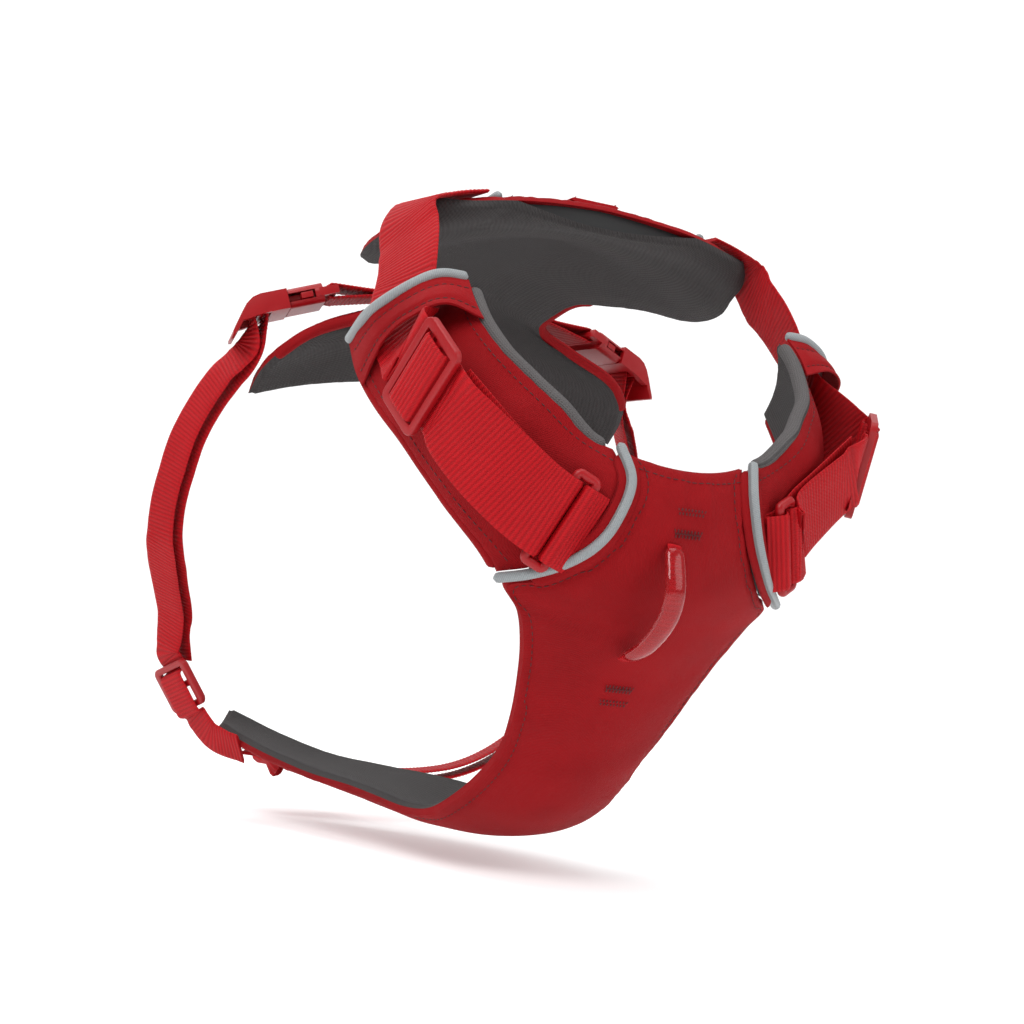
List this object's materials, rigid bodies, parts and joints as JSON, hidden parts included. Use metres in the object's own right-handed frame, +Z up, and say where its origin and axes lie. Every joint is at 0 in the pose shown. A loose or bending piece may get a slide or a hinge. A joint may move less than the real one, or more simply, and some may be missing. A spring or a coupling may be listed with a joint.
{
  "type": "no pull dog harness",
  "caption": "Padded step-in no pull dog harness with back, chest and shoulder panels, adjustable shoulder and girth webbing, side release buckles, front leash loop and back leash ring.",
  "frame": {"origin": "middle of the space that the dog's chest fills", "axes": "+X towards the dog's head, +Y towards its left side, +Z up"},
  "size_m": [0.3272, 0.2657, 0.2879],
  "materials": {
    "shell_fabric": "woven polyester, matte with a light sheen",
    "webbing": "ribbed nylon webbing",
    "mesh_lining": "ribbed air mesh",
    "foam": "closed cell foam, hidden",
    "pocket_fabric": "plain black fabric",
    "reflective_piping": "grey reflective piping",
    "moulded_plastic": "satin moulded acetal",
    "clear_sleeve": "soft glossy tube",
    "steel": "nickel plated steel"
  },
  "bodies": {
    "root": {"back_shell": "shell_fabric", "back_foam": "foam", "back_lining": "mesh_lining", "back_pocket_liner": "pocket_fabric", "back_spine_webbing": "webbing", "back_ring_keeper": "webbing", "back_front_piping_left": "reflective_piping", "back_front_piping_right": "reflective_piping", "back_rear_piping_left": "reflective_piping", "back_rear_piping_right": "reflective_piping", "chest_shell": "shell_fabric", "chest_foam": "foam", "chest_lining": "mesh_lining", "chest_piping_left": "reflective_piping", "chest_piping_right": "reflective_piping", "shoulder_shell_left": "shell_fabric", "shoulder_foam_left": "foam", "shoulder_lining_left": "mesh_lining", "shoulder_cuff_left": "shell_fabric", "shoulder_piping_left": "reflective_piping", "shoulder_strap_left": "webbing", "anchor_ring_left": "moulded_plastic", "anchor_webbing_left": "webbing", "shoulder_shell_right": "shell_fabric", "shoulder_foam_right": "foam", "shoulder_lining_right": "mesh_lining", "shoulder_cuff_right": "shell_fabric", "shoulder_piping_right": "reflective_piping", "shoulder_strap_right": "webbing", "anchor_ring_right": "moulded_plastic", "anchor_webbing_right": "webbing", "girth_strap_left": "webbing", "buckle_socket_left": "moulded_plastic", "socket_webbing_left": "webbing", "girth_strap_right": "webbing", "buckle_socket_right": "moulded_plastic", "socket_webbing_right": "webbing"},
    "back_ring": {"back_leash_ring": "steel"},
    "leash_loop": {"leash_loop_webbing": "webbing", "leash_loop_sleeve": "clear_sleeve"},
    "plug_left": {"buckle_plug_left": "moulded_plastic"},
    "prong_front_left": {"buckle_prong_front_left": "moulded_plastic"},
    "prong_rear_left": {"buckle_prong_rear_left": "moulded_plastic"},
    "shoulder_slider_body_left": {"shoulder_slider_left": "moulded_plastic"},
    "girth_slider_body_left": {"girth_slider_left": "moulded_plastic"},
    "plug_right": {"buckle_plug_right": "moulded_plastic"},
    "prong_front_right": {"buckle_prong_front_right": "moulded_plastic"},
    "prong_rear_right": {"buckle_prong_rear_right": "moulded_plastic"},
    "shoulder_slider_body_right": {"shoulder_slider_right": "moulded_plastic"},
    "girth_slider_body_right": {"girth_slider_right": "moulded_plastic"}
  },
  "joints": [
    {"name": "back_ring_swing", "type": "hinge", "parent": "root", "child": "back_ring", "pos_m": [-0.00121, 0, 0.13059], "axis": [0, 1, 0], "range_deg": [0, 150]},
    {"name": "leash_loop_swing", "type": "hinge", "parent": "root", "child": "leash_loop", "pos_m": [0.1595, -0.008, -0.0165], "axis": [0.4798, 0.0369, 0.8766], "range_deg": [-25, 25], "stiffness_Nm_per_rad": 0.004},
    {"name": "buckle_release_left", "type": "slide", "parent": "root", "child": "plug_left", "axis": [-0.2486, 0.9148, -0.3182], "range_m": [0, 0.024], "deforming": ["girth_strap_left"]},
    {"name": "prong_squeeze_front_left", "type": "hinge", "parent": "plug_left", "child": "prong_front_left", "pos_m": [-0.07819, 0.09076, 0.08864], "axis": [-0.1472, 0.289, 0.9459], "range_deg": [0, 10], "stiffness_Nm_per_rad": 0.05},
    {"name": "prong_squeeze_rear_left", "type": "hinge", "parent": "plug_left", "child": "prong_rear_left", "pos_m": [-0.06105, 0.09581, 0.08977], "axis": [0.1472, -0.289, -0.9459], "range_deg": [0, 10], "stiffness_Nm_per_rad": 0.05},
    {"name": "shoulder_adjust_left", "type": "slide", "parent": "root", "child": "shoulder_slider_body_left", "axis": [0.76, -0.56, -0.33], "range_m": [-0.004, 0.004], "deforming": ["shoulder_strap_left"]},
    {"name": "girth_adjust_left", "type": "slide", "parent": "root", "child": "girth_slider_body_left", "axis": [-0.2495, -0.9582, 0.1397], "range_m": [-0.012, 0.002], "deforming": ["girth_strap_left"]},
    {"name": "buckle_release_right", "type": "slide", "parent": "root", "child": "plug_right", "axis": [-0.2486, -0.9148, -0.3182], "range_m": [0, 0.024], "deforming": ["girth_strap_right"]},
    {"name": "prong_squeeze_front_right", "type": "hinge", "parent": "plug_right", "child": "prong_front_right", "pos_m": [-0.06105, -0.09581, 0.08977], "axis": [-0.1472, -0.289, 0.9459], "range_deg": [0, 10], "stiffness_Nm_per_rad": 0.05},
    {"name": "prong_squeeze_rear_right", "type": "hinge", "parent": "plug_right", "child": "prong_rear_right", "pos_m": [-0.07819, -0.09076, 0.08864], "axis": [0.1472, 0.289, -0.9459], "range_deg": [0, 10], "stiffness_Nm_per_rad": 0.05},
    {"name": "shoulder_adjust_right", "type": "slide", "parent": "root", "child": "shoulder_slider_body_right", "axis": [0.6609, 0.2403, -0.711], "range_m": [-0.004, 0.004], "deforming": ["shoulder_strap_right"]},
    {"name": "girth_adjust_right", "type": "slide", "parent": "root", "child": "girth_slider_body_right", "axis": [0.2004, 0.5011, -0.8419], "range_m": [-0.012, 0.002], "deforming": ["girth_strap_right"]}
  ]
}
